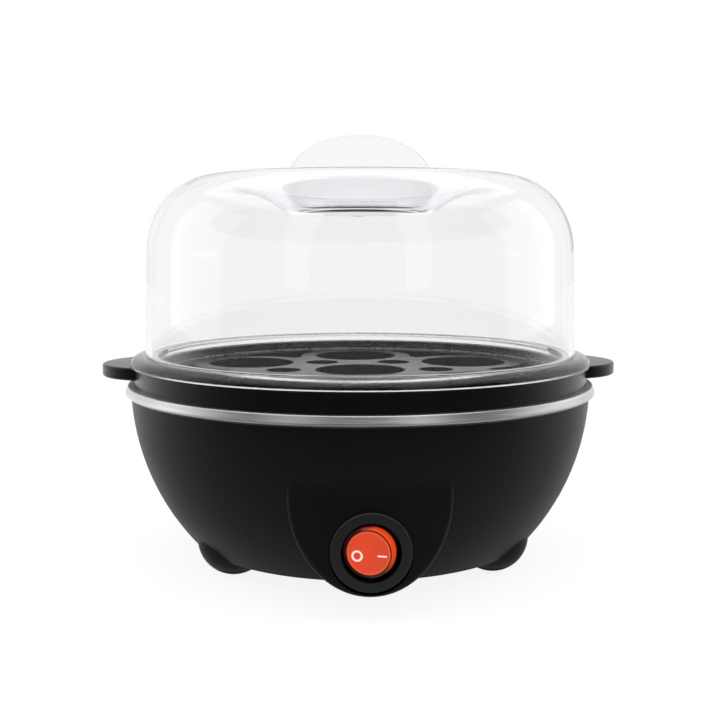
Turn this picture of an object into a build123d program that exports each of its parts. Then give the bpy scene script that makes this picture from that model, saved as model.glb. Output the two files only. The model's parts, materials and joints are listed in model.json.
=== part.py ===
from build123d import *
import os
from math import atan2, cos, degrees, hypot, pi, radians, sin, sqrt, tan

os.makedirs("parts", exist_ok=True)

# Electric egg cooker, in millimetres.
# The table is z = 0, the bowl's axis is the origin and the switch faces -Y.

# Clearances
running_gap = 0.05  # pins and shafts in their holes, on the radius
plug_gap = 0.1  # pieces that are pushed into place, on each side
loose_gap = 0.25  # lift-off pieces, on each side

# Base bowl
foot_height = 5.9
bowl_height = 49.8
bowl_foot_radius = 57.7
bowl_rim_radius = 78.0
bowl_curve = 78.8
bowl_wall = 2.2
foot_radius = 11.8
foot_flat_depth = 0.5
foot_spread_x = 42.0
foot_spread_y = 28.5
foot_pad_height = 2.2
foot_stem_radius = 2.5
foot_stem_length = 5.0

# Steel dish
band_overhang = 2.0
band_height = 3.7
band_crest_reach = 1.0
band_hem_height = 1.0
band_crest_round = 0.5
band_hem_round = 0.6
dish_sheet = 0.8
dish_rim_width = 6.0
dish_taper = 8.0
dish_depth = 22.0
dish_bend = 4.0
dish_mouth_bend = 1.0
rim_seal_width = 1.2

# Egg tray
tray_setback = 1.1
tray_height = 6.5
tray_wall = 1.8
tray_rim_width = 5.7
plate_drop = 3.4
plate_thickness = 2.0
skirt_depth = 3.5
skirt_wall = 1.5
egg_hole_radius = 15.7
egg_ring_radius = 45.6
egg_ring_count = 6
egg_collar_depth = 4.0
egg_collar_wall = 1.5
steam_hole_radius = 6.1
steam_ring_radius = 26.6
window_land = 5.8
window_margin = 6.2
window_inner_radius = 45.5
window_corner = 1.5
ear_length = 11.6
ear_root_width = 40.0
ear_thickness = 4.2
ear_drop = 0.3
ear_round = 0.8
tray_edge_round = 0.7
tray_lip_round = 0.5
plate_corner_round = 0.8

# Lid
lid_setback = 3.6
lid_flange_width = 5.0
lid_flange_height = 3.3
lid_taper = 1.3
lid_shoulder_height = 37.4
shoulder_width = 22.6
crown_rise = 25.2
lid_wall = 2.0
recess_depth = 10.1
recess_curve = 37.0
recess_fillet = 6.0
lid_spigot_depth = 2.0
lid_spigot_wall = 1.9
tab_half_width = 24.8
tab_rise = 15.2
tab_sink = 0.9
tab_thickness = 4.0
tab_edge = 1.3
tab_core_length = 25.5
tab_core_width = 1.6
tab_core_depth = 6.4
vent_radius = 2.0
vent_offset = 12.0

# Switch housing on the bowl
housing_half_width = 23.7
housing_lift = 1.75
housing_straight_rise = 29.5
housing_setback = 1.0
housing_lean = 5.0
housing_blend = 14.0
housing_blend_sink = 0.04
housing_edge = 1.8
housing_panel = 2.0
land_depth = 1.0
land_radius = 12.2

# Rocker switch
switch_rise = 14.75
bezel_radius = 11.5
bezel_thickness = 2.0
bezel_edge = 0.7
barrel_radius = 10.0
barrel_depth = 16.0
barrel_floor = 2.0
well_radius = 8.5
rocker_radius = 7.5
rocker_face_radius = 6.2
rocker_rim_radius = 7.2
rocker_back_radius = 7.0
rocker_face_reach = 3.4
rocker_rim_reach = 2.9
rocker_side_reach = 1.6
rocker_back_reach = 2.0
rocker_tilt = 14.0
rocker_pin_radius = 1.0
rocker_pin_bite = 0.9
pivot_sink = 1.5
leg_outer_radius = 2.2
leg_bore_radius = 1.5
leg_length = 3.0
plunger_radius = 1.4
plunger_tip_radius = 0.9
plunger_length = 3.6
plunger_stick_out = 1.4
spring_wall = 0.4
lever_gap = 0.45
lever_half_length = 5.4
lever_half_width = 1.8
lever_thickness = 0.6
lever_play = 0.3
lever_tilt = 6.0
lamp_radius = 1.6
lamp_length = 8.0
lamp_height = 5.2
lamp_lead_radius = 0.35
mark_depth = 0.3
ring_mark_radius = 1.6
ring_mark_line = 0.55
ring_mark_offset = 3.25
ring_mark_drop = 0.95
bar_mark_length = 2.6
bar_mark_line = 0.45
bar_mark_offset = 3.9
bar_mark_drop = 0.65

# Blades and their push-on receptacles
earth_x = -14.0
earth_y = 24.0
earth_blade_length = 12.0
blade_width = 4.8
blade_thickness = 0.8
blade_length = 8.0
blade_spacing = 6.0
receptacle_wall = 0.8
receptacle_length = 11.0
flag_length = 7.0

# Bottom cover and its screws
cover_thickness = 2.4
cover_gap = 0.3
boss_radius = 4.0
boss_ring_radius = 48.0
boss_angle = 12.0
boss_height = 17.0
rib_thickness = 2.0
screw_head_radius = 3.3
screw_head_height = 1.4
screw_radius = 1.6
cover_screw_length = 13.0

# Heater under the dish
spreader_radius = 43.0
spreader_thickness = 2.0
groove_boss_width = 9.0
groove_boss_height = 3.0
element_ring_radius = 35.0
element_radius = 3.2
element_half_gap = 20.0
element_leg = 9.0
pin_radius = 1.2
pin_length = 7.0
bead_height = 2.5
stud_ring_radius = 50.0
stud_radius = 2.0
stud_count = 3
pillar_radius = 5.0
lug_half_width = 6.0
lug_thickness = 3.0
lug_drop = 13.0
nut_radius = 3.9
nut_height = 3.2
washer_radius = 4.6
washer_thickness = 0.8
stud_end = 1.0

# Thermostat and fuse
thermostat_radius = 8.25
thermostat_height = 8.0
thermostat_flange_radius = 11.0
thermostat_flange_thickness = 0.8
bracket_thickness = 1.0
bracket_reach = 18.0
bracket_screw_offset = 14.5
bracket_screw_length = 3.0
bracket_screw_radius = 1.2
bracket_width = 8.0
fuse_radius = 2.0
fuse_length = 11.0
fuse_wire_radius = 0.6
sleeve_wall = 0.5
sleeve_length = 20.0
fuse_offset = 21.0

# Terminal block and cord entry at the back
block_screw_radius = 1.1
block_length = 33.0
block_depth = 12.0
block_height = 11.0
block_gap = 8.0
block_round = 1.0
block_screw_inset = 2.5
block_screw_bite = 1.4
way_spacing = 9.0
way_bite = 4.0
lead_height_in_block = 5.4
clamp_screw_radius = 2.0
clamp_screw_head = 1.2
clamp_screw_length = 3.6
twin_spacing = 3.0
gland_rise = 15.4
gland_setback = 7.0
gland_boss_radius = 9.5
gland_flange_radius = 8.0
gland_flange_thickness = 2.0
gland_neck_radius = 5.2
gland_neck_length = 11.0
gland_bore_radius = 3.4
gland_round = 0.8
wire_entry_radius = 1.7

# Leads
lead_radius = 1.1
lead_bend_share = 0.45

# Radii and heights that follow from the sizes above
band_radius = bowl_rim_radius + band_overhang
dish_mouth_radius = bowl_rim_radius - dish_rim_width
dish_floor_radius = dish_mouth_radius - dish_taper
tray_radius = bowl_rim_radius - tray_setback
tray_opening_radius = tray_radius - tray_rim_width
window_outer_radius = tray_opening_radius - window_margin
ear_reach = tray_radius + ear_length
lid_wall_radius = tray_radius - lid_setback
lid_flange_radius = lid_wall_radius + lid_flange_width
lid_shoulder_radius = lid_wall_radius - lid_taper
crown_radius = lid_shoulder_radius - shoulder_width
housing_front = bowl_rim_radius - housing_setback
housing_bottom = foot_height + housing_lift
housing_straight_height = foot_height + housing_straight_rise
switch_height = foot_height + switch_rise
gland_height = foot_height + gland_rise
gland_face = bowl_rim_radius - gland_setback
block_front = gland_face - gland_neck_length - block_gap - block_depth
foot_center_z = foot_radius - foot_flat_depth
bowl_top = foot_height + bowl_height
band_top = bowl_top + band_height
dish_floor_top = band_top - dish_depth
dish_underside = dish_floor_top - dish_sheet
spreader_underside = dish_underside - spreader_thickness
tray_top = band_top + tray_height
plate_top = tray_top - plate_drop
plate_underside = plate_top - plate_thickness
shoulder_z = tray_top + lid_shoulder_height
crown_z = shoulder_z + crown_rise
cover_underside = foot_height
cover_top = cover_underside + cover_thickness
pivot_y = -(housing_front - land_depth) + pivot_sink
beyond = 2 * bowl_rim_radius


def rod(radius, start, end):
    axis = Vector(*end) - Vector(*start)
    place = Plane(origin=start, z_dir=axis)
    return place * Cylinder(radius, axis.length, align=(Align.CENTER, Align.CENTER, Align.MIN))


def pipe(bore, radius, start, end):
    return rod(radius, start, end) - rod(bore, start, end)


def block(size_x, size_y, size_z, center):
    return Pos(*center) * Box(size_x, size_y, size_z)


def turned(*edges):
    return revolve(Plane.XZ * make_face(Curve() + list(edges)), Axis.Z)


def turned_polygon(*points):
    return revolve(Plane.XZ * make_face(Polyline(*points, close=True)), Axis.Z)


def around(shape, count, first_angle=0.0):
    return [Rot(0, 0, first_angle + 360.0 * step / count) * shape for step in range(count)]


def circle_edges(shape, radius, height, tolerance=0.02):
    found = []
    for edge in shape.edges().filter_by(GeomType.CIRCLE):
        center = edge.arc_center
        on_axis = hypot(center.X, center.Y) < tolerance
        if on_axis and abs(edge.radius - radius) < tolerance and abs(center.Z - height) < tolerance:
            found.append(edge)
    return found


def arc_edge(center, radius, first_angle, last_angle):
    return CenterArc(center, radius, first_angle, last_angle - first_angle)


# Bowl


def arc_center(low, high, radius):
    # The centre lies on the inner side of the chord from low to high.
    mid = ((low[0] + high[0]) / 2, (low[1] + high[1]) / 2)
    chord = (high[0] - low[0], high[1] - low[1])
    length = hypot(*chord)
    rise = sqrt(radius**2 - length**2 / 4)
    return mid[0] - chord[1] / length * rise, mid[1] + chord[0] / length * rise


bowl_center = arc_center((bowl_foot_radius, foot_height), (bowl_rim_radius, bowl_top), bowl_curve)


def bowl_radius_at(height, inset=0.0):
    return bowl_center[0] + sqrt((bowl_curve - inset) ** 2 - (height - bowl_center[1]) ** 2)


def bowl_solid(inset, bottom, top):
    low = (bowl_radius_at(bottom, inset), bottom)
    middle_height = (bottom + top) / 2
    middle = (bowl_radius_at(middle_height, inset), middle_height)
    high = (bowl_radius_at(top, inset), top)
    side = ThreePointArc(low, middle, high)
    return turned(Line((0, bottom), low), side, Line(high, (0, top)), Line((0, top), (0, bottom)))


def housing_front_body(low_radius):
    # The tongue's front is turned about the bowl's axis. It leans back, then curves out again until
    # it touches the bowl's wall, which it meets a hair inside so that the two join cleanly.
    lean = radians(housing_lean)
    reach = bowl_curve - housing_blend_sink + housing_blend
    across = low_radius + housing_blend / cos(lean) - bowl_center[0]
    square = tan(lean) ** 2 + 1
    half = across * tan(lean) + bowl_center[1]
    rest = across**2 + bowl_center[1] ** 2 - reach**2
    height = (half - sqrt(half**2 - square * rest)) / square
    center = (across + bowl_center[0] - height * tan(lean), height)
    towards_bowl = atan2(bowl_center[1] - center[1], bowl_center[0] - center[0])
    towards_front = lean - pi
    low = arc_point(center, housing_blend, towards_front)
    middle = arc_point(center, housing_blend, (towards_front + towards_bowl - 2 * pi) / 2)
    high = arc_point(center, housing_blend, towards_bowl)
    blend = ThreePointArc(low, middle, high)
    floor_line = Line((0, 0), (low_radius, 0))
    front_line = Line((low_radius, 0), low)
    roof_line = Line(high, (0, high[1]))
    return turned(floor_line, front_line, blend, roof_line, Line((0, high[1]), (0, 0)))


def arc_point(center, radius, angle):
    return center[0] + radius * cos(angle), center[1] + radius * sin(angle)


def housing_solid(inset, front, edge):
    # A tongue whose outline is two upright sides on a half ellipse.
    half_width = housing_half_width - inset
    ellipse_drop = housing_straight_height - housing_bottom - inset
    top = bowl_top - bowl_wall
    left_side = Line((-half_width, top), (-half_width, housing_straight_height))
    lower = EllipticalCenterArc(
        (0, housing_straight_height), half_width, ellipse_drop, start_angle=180, arc_size=180
    )
    right_side = Line((half_width, housing_straight_height), (half_width, top))
    lid_line = Line((half_width, top), (-half_width, top))
    outline = make_face(Curve() + [left_side, lower, right_side, lid_line])
    start = boss_ring_radius + boss_radius
    tongue = extrude(Plane.XZ.offset(start) * outline, housing_front)
    slope = tan(radians(housing_lean))
    low_radius = front + switch_height * slope
    if not edge:
        # The hollow's front is a plain cone, so the wall is thicker behind the outer curve.
        high_radius = low_radius - bowl_top * slope
        return tongue & Cone(low_radius, high_radius, bowl_top, align=(Align.CENTER, Align.CENTER, Align.MIN))
    tongue &= housing_front_body(low_radius)
    outer_edges = [e for e in tongue.edges() if e.center().Y < -front * cos(radians(30))]
    outer_edges = [e for e in outer_edges if e.geom_type != GeomType.CIRCLE]
    return fillet(outer_edges, edge)


def foot_places():
    return [
        (sign_x * foot_spread_x, sign_y * foot_spread_y)
        for sign_y in (-1, 1)
        for sign_x in (-1, 1)
    ]


def boss_places():
    angles = [boss_angle, 180 - boss_angle, 180 + boss_angle, -boss_angle]
    return [
        (boss_ring_radius * cos(radians(angle)), boss_ring_radius * sin(radians(angle)))
        for angle in angles
    ]


def polar(radius, angle, height):
    return (radius * cos(radians(angle)), radius * sin(radians(angle)), height)


stud_angles = [360.0 * step / stud_count for step in range(stud_count)]
lug_underside = dish_underside - lug_drop
cover_boss_top = cover_top + boss_height


def make_base_bowl():
    outside = bowl_solid(0, foot_height, bowl_top)
    outside += housing_solid(0, housing_front, housing_edge)
    outside += rod(gland_boss_radius, (0, boss_ring_radius, gland_height), (0, gland_face, gland_height))
    inside = bowl_solid(bowl_wall, foot_height, bowl_top)
    inner_housing = housing_solid(bowl_wall, housing_front - bowl_wall, 0)
    panel_back = housing_front - land_depth - housing_panel
    inner_housing &= Pos(0, beyond - panel_back, 0) * Box(2 * beyond, 2 * beyond, 2 * beyond)
    shell = outside - inside - inner_housing

    # The feet are solid domes, flat on the floor side where the pads plug in.
    for x, y in foot_places():
        dome = Pos(x, y, foot_center_z) * Sphere(foot_radius)
        dome -= rod(foot_radius, (x, y, -foot_radius), (x, y, foot_pad_height))
        shell += dome
    for x, y in foot_places():
        stem_top = foot_pad_height + foot_stem_length + plug_gap
        shell -= rod(foot_stem_radius + running_gap, (x, y, foot_pad_height), (x, y, stem_top))

    # Screw bosses stand on ribs that run out to the wall.
    ribs = []
    for x, y in boss_places():
        ribs.append(rod(boss_radius, (x, y, cover_top), (x, y, cover_boss_top)))
        angle = degrees(atan2(y, x))
        rib_length = bowl_rim_radius - boss_ring_radius
        rib = Pos(boss_ring_radius + rib_length / 2, 0, cover_top + boss_height / 2)
        rib_solid = rib * Box(rib_length, rib_thickness, boss_height)
        ribs.append(Rot(0, 0, angle) * rib_solid)

    # Lugs with pillars carry the dish at its studs.
    for angle in stud_angles:
        lug_length = bowl_rim_radius - stud_ring_radius
        lug_middle = (stud_ring_radius + lug_length / 2, 0, lug_underside + lug_thickness / 2)
        lug = block(lug_length, 2 * lug_half_width, lug_thickness, lug_middle)
        ribs.append(Rot(0, 0, angle) * lug)
        low = polar(stud_ring_radius, angle, lug_underside)
        high = polar(stud_ring_radius, angle, dish_underside)
        ribs.append(rod(pillar_radius, low, high))
    outer_body = bowl_solid(bowl_wall / 2, foot_height, bowl_top)
    for rib in ribs:
        shell += rib & outer_body

    for x, y in boss_places():
        shell -= rod(screw_radius + running_gap, (x, y, foot_height), (x, y, cover_boss_top - bowl_wall))
    for angle in stud_angles:
        low = polar(stud_ring_radius, angle, foot_height)
        high = polar(stud_ring_radius, angle, bowl_top)
        shell -= rod(stud_radius + loose_gap, low, high)

    # Switch opening with its flat land, and the cord entry at the back.
    land_y = -(housing_front - land_depth)
    behind = -boss_ring_radius
    shell -= rod(land_radius, (0, land_y, switch_height), (0, -beyond, switch_height))
    shell -= rod(barrel_radius + plug_gap, (0, behind, switch_height), (0, -beyond, switch_height))
    shell -= rod(gland_boss_radius, (0, gland_face, gland_height), (0, beyond, gland_height))
    shell -= rod(
        gland_neck_radius + running_gap, (0, boss_ring_radius, gland_height), (0, gland_face, gland_height)
    )
    return shell


def make_bottom_cover():
    cover = bowl_solid(bowl_wall + cover_gap, cover_underside, cover_top)
    for x, y in foot_places():
        cover -= rod(foot_radius + cover_gap, (x, y, 0), (x, y, bowl_top))
    for x, y in boss_places():
        cover -= rod(screw_head_radius + loose_gap, (x, y, 0), (x, y, cover_underside + screw_head_height))
        cover -= rod(screw_radius + loose_gap, (x, y, 0), (x, y, cover_top))
    for x in block_screw_places():
        y = block_front + block_depth / 2
        cover -= rod(block_screw_radius + running_gap, (x, y, 0), (x, y, cover_top))
    return cover


def screw(x, y, head_face, direction, head_radius, head_height, radius, length):
    # The head's open face is at head_face and the shank runs in the direction +1 up or -1 down.
    seat = head_face + direction * head_height
    body = rod(head_radius, (x, y, head_face), (x, y, seat))
    body += rod(radius, (x, y, seat), (x, y, seat + direction * length))
    slot_depth = head_height / 2
    slot_center = (x, y, head_face + direction * slot_depth / 2)
    body -= block(1.5 * head_radius, 0.25 * head_radius, slot_depth, slot_center)
    body -= block(0.25 * head_radius, 1.5 * head_radius, slot_depth, slot_center)
    return body


def make_cover_screws():
    head = screw_head_height
    return [
        screw(x, y, cover_underside, 1, screw_head_radius, head, screw_radius, cover_screw_length)
        for x, y in boss_places()
    ]


def make_foot_pad(x, y):
    pad = Pos(x, y, foot_center_z) * Sphere(foot_radius)
    pad &= rod(foot_radius, (x, y, 0), (x, y, foot_pad_height))
    return pad + rod(foot_stem_radius, (x, y, foot_pad_height), (x, y, foot_pad_height + foot_stem_length))


# Steel dish


def dish_slope():
    return atan2(dish_mouth_radius - dish_floor_radius, dish_depth)


def dish_side(grow):
    # The path from the axis over the floor and up the sloping wall to the band.
    slope = dish_slope()
    shift = grow / cos(slope) - grow * tan(slope)
    return FilletPolyline(
        (0, dish_floor_top - grow),
        (dish_floor_radius + shift, dish_floor_top - grow),
        (dish_mouth_radius + shift, band_top - grow),
        (bowl_rim_radius - grow, band_top - grow),
        radius=[dish_bend + grow, dish_mouth_bend + dish_sheet - grow],
    )


def inset_corner(before, corner, after):
    # Where the sheet's other face turns, one sheet inside a corner of its outline.
    enter = atan2(corner[1] - before[1], corner[0] - before[0])
    leave = atan2(after[1] - corner[1], after[0] - corner[0])
    side = (enter + leave - pi) / 2
    reach = dish_sheet / cos((enter - leave) / 2)
    return corner[0] + reach * cos(side), corner[1] + reach * sin(side)


def make_heating_plate():
    # The rim runs out flat, slants down and outwards as the steel band, and turns in to its lip.
    upper = dish_side(0)
    under = dish_side(dish_sheet)
    root = (bowl_rim_radius, band_top)
    crest = (bowl_rim_radius + band_crest_reach, band_top)
    hem = (band_radius, bowl_top + band_hem_height)
    lip = (bowl_rim_radius, bowl_top)
    outer = Polyline(root, crest, hem, lip)
    inner = Polyline(
        (bowl_rim_radius - dish_sheet, bowl_top),
        inset_corner(crest, hem, lip),
        inset_corner(root, crest, hem),
        (bowl_rim_radius - dish_sheet, band_top - dish_sheet),
    )
    plate = turned(upper, outer, Line(outer @ 1, inner @ 0), inner, under, Line(under @ 0, upper @ 0))
    plate = fillet(circle_edges(plate, crest[0], crest[1]), band_crest_round)
    plate = fillet(circle_edges(plate, hem[0], hem[1]), band_hem_round)
    for angle in stud_angles:
        low = polar(stud_ring_radius, angle, stud_bottom)
        high = polar(stud_ring_radius, angle, dish_underside)
        plate += rod(stud_radius, low, high)
    return plate


stud_bottom = lug_underside - washer_thickness - nut_height - stud_end


def make_rim_seal():
    inner = bowl_radius_at(bowl_top, bowl_wall) + plug_gap
    return pipe(inner, inner + rim_seal_width, (0, 0, bowl_top), (0, 0, band_top - dish_sheet))


# Egg tray


def window_face():
    # A curved triangle between two egg holes and the tray's wall.
    ring = Circle(window_outer_radius) - Circle(window_inner_radius)
    half_step = 180.0 / egg_ring_count
    reach = 2 * window_outer_radius
    corner = (reach * cos(radians(half_step)), reach * sin(radians(half_step)))
    wedge = make_face(Polyline((0, 0), corner, (corner[0], -corner[1]), close=True))
    face = ring & wedge
    for side in (-1, 1):
        center = polar(egg_ring_radius, side * half_step, 0)
        face -= Pos(*center) * Circle(egg_hole_radius + window_land)
    return fillet(face.vertices(), window_corner)


def make_egg_tray():
    skirt_outer = dish_mouth_radius - skirt_depth * tan(dish_slope()) - 2 * loose_gap
    skirt_inner = skirt_outer - skirt_wall
    skirt_bottom = band_top - skirt_depth
    inner_wall_outside = tray_opening_radius + skirt_wall
    shell = turned_polygon(
        (0, plate_underside),
        (skirt_inner, plate_underside),
        (skirt_inner, skirt_bottom),
        (skirt_outer, skirt_bottom),
        (skirt_outer, plate_underside),
        (inner_wall_outside, plate_underside),
        (inner_wall_outside, tray_top - tray_wall),
        (tray_radius - tray_wall, tray_top - tray_wall),
        (tray_radius - tray_wall, band_top),
        (tray_radius, band_top),
        (tray_radius, tray_top),
        (tray_opening_radius, tray_top),
        (tray_opening_radius, plate_top),
        (0, plate_top),
    )
    shell = fillet(circle_edges(shell, tray_radius, tray_top), tray_edge_round)
    shell = fillet(circle_edges(shell, tray_opening_radius, tray_top), tray_lip_round)
    shell = fillet(circle_edges(shell, tray_opening_radius, plate_top), plate_corner_round)

    # Two flat ears to lift it by.
    half_root = ear_root_width / 2
    root_x = sqrt(tray_radius**2 - half_root**2)
    ear_depth = ear_reach - root_x
    ear_radius = (half_root**2 + ear_depth**2) / (2 * ear_depth)
    ear_top = tray_top - ear_drop
    inner_room = Cylinder(tray_radius - tray_wall / 2, 4 * tray_top)
    for side in (-1, 1):
        center = side * (ear_reach - ear_radius)
        ear = rod(ear_radius, (center, 0, ear_top - ear_thickness), (center, 0, ear_top))
        ear = fillet(ear.edges().filter_by(GeomType.CIRCLE), ear_round)
        shell += ear - inner_room

    # Egg seats with collars below them.
    seats = [(0.0, 0.0, 0.0)]
    for step in range(egg_ring_count):
        seats.append(polar(egg_ring_radius, (step + 0.5) * 360 / egg_ring_count, 0))
    collar_bottom = plate_top - egg_collar_depth
    for x, y, _ in seats:
        shell += rod(egg_hole_radius + egg_collar_wall, (x, y, collar_bottom), (x, y, plate_top))
    for x, y, _ in seats:
        shell -= rod(egg_hole_radius, (x, y, 0), (x, y, tray_top))
    for step in range(egg_ring_count):
        x, y, _ = polar(steam_ring_radius, step * 360 / egg_ring_count, 0)
        shell -= rod(steam_hole_radius, (x, y, 0), (x, y, tray_top))
    window = extrude(Pos(0, 0, collar_bottom) * window_face(), tray_top - collar_bottom)
    for cutter in around(window, egg_ring_count):
        shell -= cutter
    return shell


# Lid


def lid_solid(inset):
    floor_z = crown_z - recess_depth - inset
    wall_low = (lid_wall_radius - inset, tray_top)
    wall_high = (lid_shoulder_radius - inset, shoulder_z)
    shoulder = EllipticalCenterArc(
        (crown_radius, shoulder_z),
        lid_shoulder_radius - crown_radius - inset,
        crown_rise - inset,
        start_angle=0,
        arc_size=90,
    )
    # The recess falls on one arc and turns into its floor on a second, tangent one.
    crown_center = (crown_radius, crown_z - recess_curve)
    fillet_z = crown_z - recess_depth + recess_fillet
    rise = fillet_z - crown_center[1]
    reach = recess_curve + recess_fillet
    fillet_center = (crown_radius - sqrt(reach**2 - rise**2), fillet_z)
    meet_angle = degrees(atan2(rise, fillet_center[0] - crown_radius))
    crown_arc = arc_edge(crown_center, recess_curve - inset, 90, meet_angle)
    floor_arc = arc_edge(fillet_center, recess_fillet + inset, meet_angle - 180, -90)
    return turned(
        Line((0, tray_top), wall_low),
        Line(wall_low, wall_high),
        shoulder,
        crown_arc,
        floor_arc,
        Line((fillet_center[0], floor_z), (0, floor_z)),
        Line((0, floor_z), (0, tray_top)),
    )


def make_lid():
    flange_corner = (lid_wall_radius - lid_wall / 2, tray_top)
    flange_inner_top = (lid_wall_radius - lid_wall / 2, tray_top + lid_flange_height)
    flange_round = EllipticalCenterArc(
        (lid_wall_radius, tray_top),
        lid_flange_radius - lid_wall_radius,
        lid_flange_height,
        start_angle=0,
        arc_size=90,
    )
    flange = turned(
        Line(flange_corner, flange_round @ 0),
        flange_round,
        Line(flange_round @ 1, flange_inner_top),
        Line(flange_inner_top, flange_corner),
    )
    tab_center_z = crown_z - tab_sink
    recess_floor = crown_z - recess_depth
    tab_center = (0, tab_center_z)
    half_ellipse = EllipticalCenterArc(tab_center, tab_half_width, tab_rise, start_angle=0, arc_size=180)
    tab_outline = Curve() + [
        Line((tab_half_width, recess_floor - lid_wall), (tab_half_width, tab_center_z)),
        half_ellipse,
        Line((-tab_half_width, tab_center_z), (-tab_half_width, recess_floor - lid_wall)),
        Line((-tab_half_width, recess_floor - lid_wall), (tab_half_width, recess_floor - lid_wall)),
    ]
    tab = extrude(Plane.XZ * make_face(tab_outline), tab_thickness / 2, both=True)
    tab_edges = [edge for edge in tab.edges() if edge.center().Z > tab_center_z - recess_depth / 2]
    tab_edges = [edge for edge in tab_edges if abs(edge.center().Y) > tab_thickness / 4]
    tab = fillet(tab_edges, tab_edge)
    spigot_outer = tray_opening_radius - loose_gap
    spigot_inner = spigot_outer - lid_spigot_wall
    spigot_bottom = tray_top - lid_spigot_depth
    spigot_top = tray_top + lid_flange_height
    spigot = turned_polygon(
        (spigot_inner, spigot_bottom),
        (spigot_outer, spigot_bottom),
        (spigot_outer, tray_top),
        (lid_wall_radius - lid_wall / 2, tray_top),
        (lid_wall_radius - lid_wall / 2, spigot_top),
        (spigot_inner, spigot_top),
    )
    lid = lid_solid(0) + flange + tab - lid_solid(lid_wall)
    lid += spigot
    core_center = (0, 0, recess_floor - lid_wall + tab_core_depth / 2)
    lid -= block(tab_core_length, tab_core_width, tab_core_depth, core_center)
    lid -= rod(vent_radius, (0, vent_offset, recess_floor - recess_depth), (0, vent_offset, crown_z))
    return lid


# Heater


def element_path_solid(radius):
    half_gap = element_half_gap
    ring = Torus(element_ring_radius, radius)
    ring_z = spreader_underside - element_radius
    reach = 2 * element_ring_radius
    gap_corner = (reach * cos(radians(half_gap)), reach * sin(radians(half_gap)))
    wedge = make_face(Polyline((0, 0), gap_corner, (gap_corner[0], -gap_corner[1]), close=True))
    ring -= extrude(wedge, reach, both=True)
    shape = Pos(0, 0, ring_z) * ring
    for side in (-1, 1):
        elbow = polar(element_ring_radius, side * half_gap, ring_z)
        shape += Pos(*elbow) * Sphere(radius)
        shape += rod(radius, elbow, (elbow[0], elbow[1], ring_z - element_leg))
    return shape


element_end_z = spreader_underside - element_radius - element_leg


def element_ends():
    return [polar(element_ring_radius, side * element_half_gap, element_end_z) for side in (-1, 1)]


def make_heating_element():
    shape = element_path_solid(element_radius)
    for x, y, z in element_ends():
        shape -= rod(pin_radius + running_gap, (x, y, z), (x, y, z + element_leg / 2))
    return shape


def make_element_pins():
    return [
        rod(pin_radius, (x, y, z - pin_length), (x, y, z + element_leg / 2)) for x, y, z in element_ends()
    ]


def make_element_beads():
    return [
        pipe(pin_radius + running_gap, element_radius, (x, y, z - bead_height), (x, y, z))
        for x, y, z in element_ends()
    ]


def make_heat_spreader():
    disc = rod(spreader_radius, (0, 0, spreader_underside), (0, 0, dish_underside))
    half = groove_boss_width / 2
    disc += pipe(
        element_ring_radius - half,
        element_ring_radius + half,
        (0, 0, spreader_underside - groove_boss_height),
        (0, 0, spreader_underside),
    )
    disc -= element_path_solid(element_radius + running_gap)
    for side in (-1, 1):
        low = (side * bracket_screw_offset, 0, spreader_underside)
        high = (side * bracket_screw_offset, 0, spreader_underside + bracket_screw_length - bracket_thickness)
        disc -= rod(bracket_screw_radius + running_gap, low, high)
    return disc + earth_blade()


earth_tip_z = spreader_underside - earth_blade_length


def earth_blade():
    middle = (spreader_underside + earth_tip_z) / 2
    return block(blade_width, blade_thickness, spreader_underside - earth_tip_z, (earth_x, earth_y, middle))


thermostat_top = spreader_underside
thermostat_bottom = thermostat_top - thermostat_flange_thickness - thermostat_height
thermostat_blade_z = thermostat_bottom + thermostat_height / 3


def make_thermostat():
    body = rod(thermostat_radius, (0, 0, thermostat_bottom), (0, 0, thermostat_top))
    flange_low = thermostat_top - thermostat_flange_thickness
    body += rod(thermostat_flange_radius, (0, 0, flange_low), (0, 0, thermostat_top))
    return body + thermostat_blade(-1) + thermostat_blade(1)


def make_thermostat_bracket():
    top = spreader_underside - thermostat_flange_thickness
    middle = top - bracket_thickness / 2
    plate = rod(thermostat_flange_radius, (0, 0, top - bracket_thickness), (0, 0, top))
    plate += block(2 * bracket_reach, bracket_width, bracket_thickness, (0, 0, middle))
    for side in (-1, 1):
        foot_length = bracket_reach - thermostat_flange_radius - plug_gap
        foot_x = side * (bracket_reach - foot_length / 2)
        foot_middle = spreader_underside - thermostat_flange_thickness / 2
        plate += block(foot_length, bracket_width, thermostat_flange_thickness, (foot_x, 0, foot_middle))
    plate -= rod(thermostat_radius + plug_gap, (0, 0, thermostat_bottom), (0, 0, thermostat_top))
    for side in (-1, 1):
        x = side * bracket_screw_offset
        plate -= rod(bracket_screw_radius + plug_gap, (x, 0, thermostat_bottom), (x, 0, thermostat_top))
    return plate


def make_bracket_screws():
    seat = spreader_underside - thermostat_flange_thickness - bracket_thickness
    head = screw_head_height
    shank = bracket_screw_length + thermostat_flange_thickness - running_gap
    return [
        screw(side * bracket_screw_offset, 0, seat - head, 1, stud_radius, head, bracket_screw_radius, shank)
        for side in (-1, 1)
    ]


fuse_z = spreader_underside - fuse_radius - sleeve_wall - 2 * plug_gap
fuse_x = -fuse_offset


def fuse_point(y):
    return (fuse_x, y, fuse_z)


def make_thermal_fuse():
    half_wire = sleeve_length / 2
    body = rod(fuse_radius, fuse_point(-fuse_length / 2), fuse_point(fuse_length / 2))
    return body + rod(fuse_wire_radius, fuse_point(-half_wire), fuse_point(half_wire))


def make_fuse_sleeve():
    half = sleeve_length / 2
    bore = fuse_radius + plug_gap
    return pipe(bore, bore + sleeve_wall, fuse_point(-half), fuse_point(half))


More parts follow.
